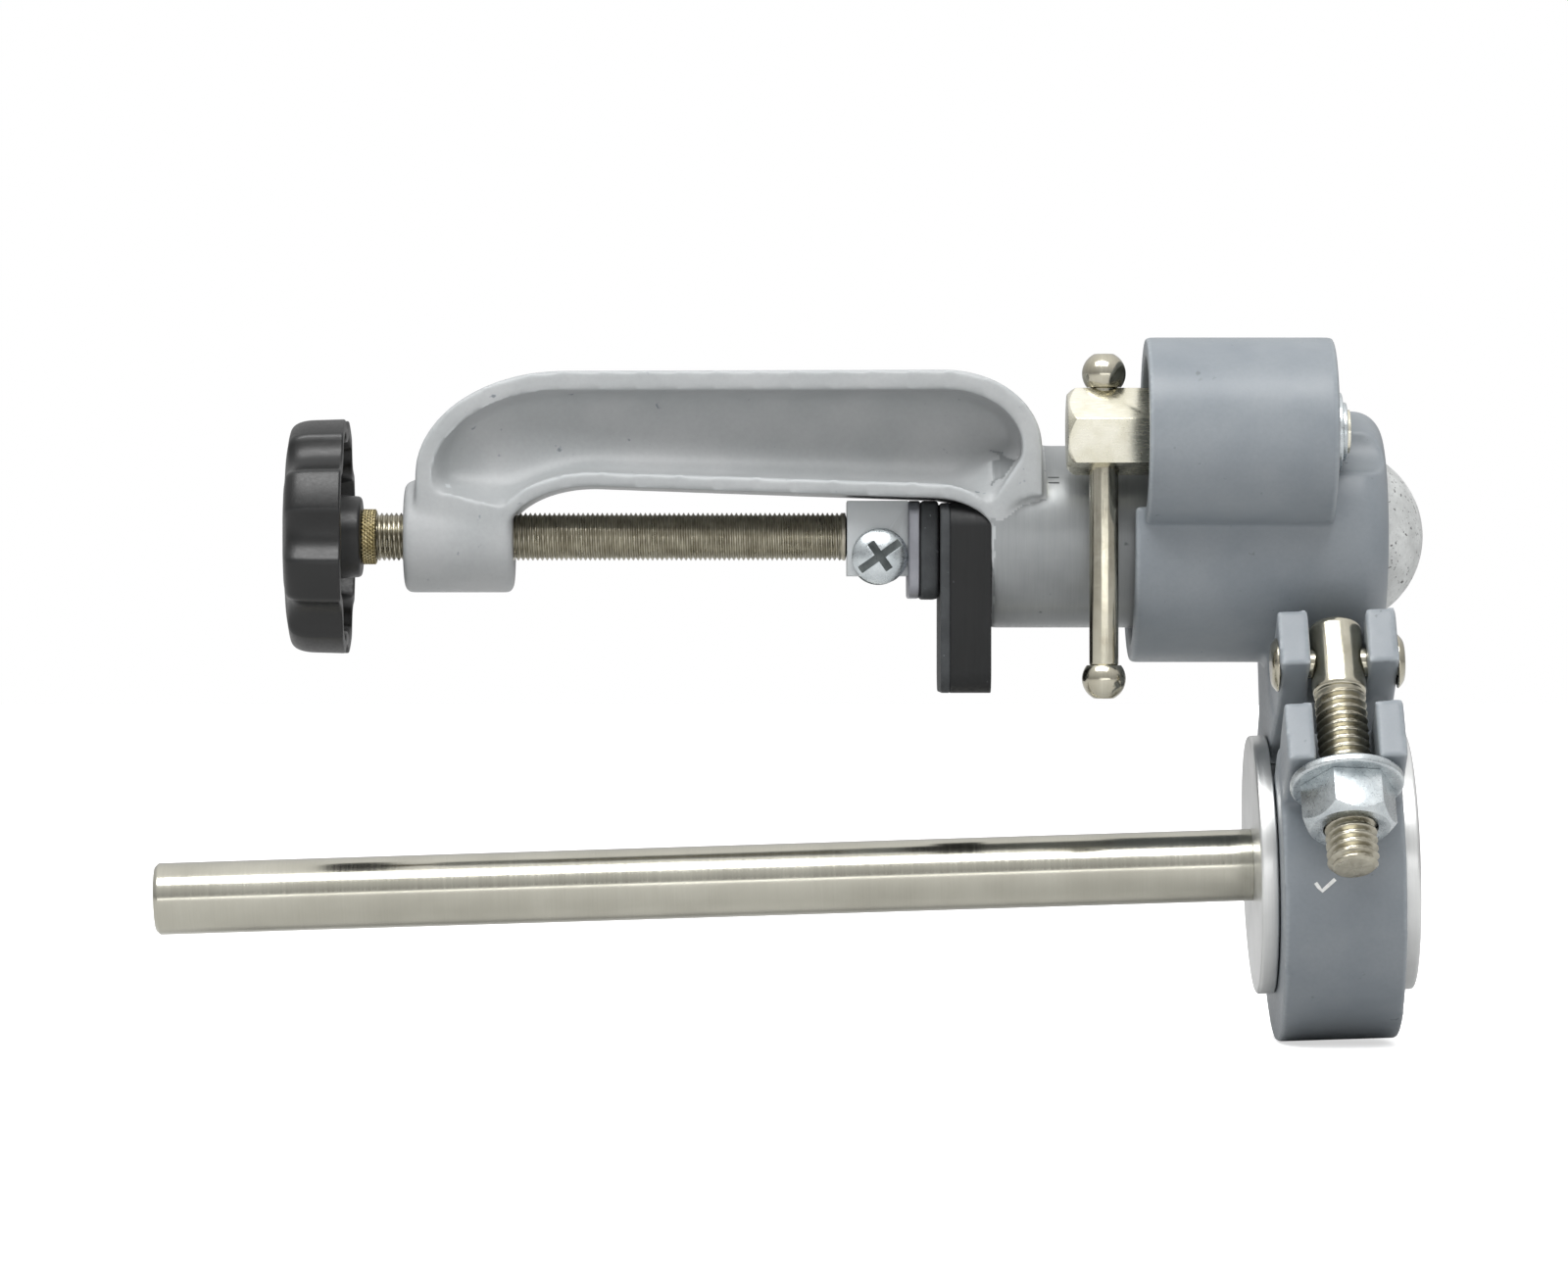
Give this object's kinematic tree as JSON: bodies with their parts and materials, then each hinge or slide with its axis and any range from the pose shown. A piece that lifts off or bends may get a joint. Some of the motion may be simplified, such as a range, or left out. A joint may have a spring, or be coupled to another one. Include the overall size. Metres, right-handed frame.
{
  "type": "bench clamp with swivel head and arm",
  "caption": "C-clamp with a screw jaw and a post; a locking swivel head on the post carries a ring clamp that grips the flanged spool of a long round arm.",
  "frame": {"origin": "on the face of the fixed jaw pad, on the axis that the spindle and the post share", "axes": "+X from the knob along the spindle to the post's rounded end; +Z towards the back of the C-frame; -Y the side with the lock lever"},
  "size_m": [0.2647, 0.0969, 0.1459],
  "materials": {
    "grey_enamel": "satin stoved enamel on a casting",
    "raw_casting": "as cast and turned",
    "black_nylon": "moulded",
    "rubber": "matt",
    "zinc_plate": "bright zinc plate",
    "steel": "plain machined",
    "nickel": "polished nickel plate",
    "brass": "turned",
    "stainless": "ground and polished"
  },
  "bodies": {
    "frame": {"clamp_frame": "grey_enamel", "post_plug": "raw_casting", "fixed_jaw": "black_nylon", "fixed_jaw_pad": "rubber", "fixed_jaw_screws": "zinc_plate"},
    "jaw": {"jaw_block": "grey_enamel", "jaw_plate": "zinc_plate", "jaw_pad": "rubber", "jaw_screws": "zinc_plate", "thrust_disc": "steel"},
    "spindle": {"spindle": "steel", "knurled_collar": "steel", "knob": "black_nylon"},
    "head": {"swivel_head": "grey_enamel", "pivot_pin": "steel"},
    "lock": {"lock_shaft": "nickel", "lock_washer": "zinc_plate", "lock_clip": "steel"},
    "shoe": {"lock_shoe": "brass"},
    "bar": {"tommy_bar": "nickel", "bar_ball_top": "nickel", "bar_ball_low": "nickel"},
    "bolt": {"swing_bolt": "steel"},
    "washer": {"bolt_washer": "zinc_plate"},
    "nut": {"bolt_nut": "zinc_plate"},
    "arm": {"arm_spool": "raw_casting", "spool_disc": "raw_casting", "arm_rod": "stainless", "spool_screw": "zinc_plate"}
  },
  "joints": [
    {"name": "jaw_slide", "type": "slide", "parent": "frame", "child": "jaw", "axis": [-1, 0, 0], "range_m": [0, 0.0641]},
    {"name": "spindle_turn", "type": "hinge", "parent": "jaw", "child": "spindle", "pos_m": [-0.05, 0, 0], "axis": [-1, 0, 0], "range_deg": [0, 23040]},
    {"name": "head_swivel", "type": "hinge", "parent": "frame", "child": "head", "pos_m": [0.06, 0, 0], "axis": [1, 0, 0], "continuous": true},
    {"name": "lock_turn", "type": "hinge", "parent": "head", "child": "lock", "pos_m": [0.06, -0.0235, 0.0212], "axis": [-1, 0, 0], "range_deg": [0, 75]},
    {"name": "shoe_slide", "type": "slide", "parent": "head", "child": "shoe", "axis": [0, 0.7425, -0.6698], "range_m": [0, 0.0002]},
    {"name": "bar_slide", "type": "slide", "parent": "lock", "child": "bar", "axis": [0, 0, 1], "range_m": [0, 0.038]},
    {"name": "bolt_swing", "type": "hinge", "parent": "head", "child": "bolt", "pos_m": [0.08039, -0.032, -0.02622], "axis": [-0.9995, 0, -0.0314], "range_deg": [0, 90]},
    {"name": "nut_slide", "type": "slide", "parent": "bolt", "child": "washer", "axis": [0.0272, -0.5, -0.8656], "range_m": [-0.00101, 0.0081]},
    {"name": "nut_turn", "type": "hinge", "parent": "washer", "child": "nut", "pos_m": [0.08039, -0.032, -0.02622], "axis": [0.0272, -0.5, -0.8656], "range_deg": [-198, 1587]},
    {"name": "arm_turn", "type": "hinge", "parent": "head", "child": "arm", "pos_m": [0.0817, 0, -0.068], "axis": [0.9995, 0, 0.0314], "continuous": true}
  ],
  "couplings": [
    {"joint": "jaw_slide", "follows": "spindle_turn", "m_per_rad": 0.00015915},
    {"joint": "shoe_slide", "follows": "lock_turn", "m_per_rad": 0.00012987},
    {"joint": "nut_slide", "follows": "nut_turn", "m_per_rad": 0.00028871}
  ]
}
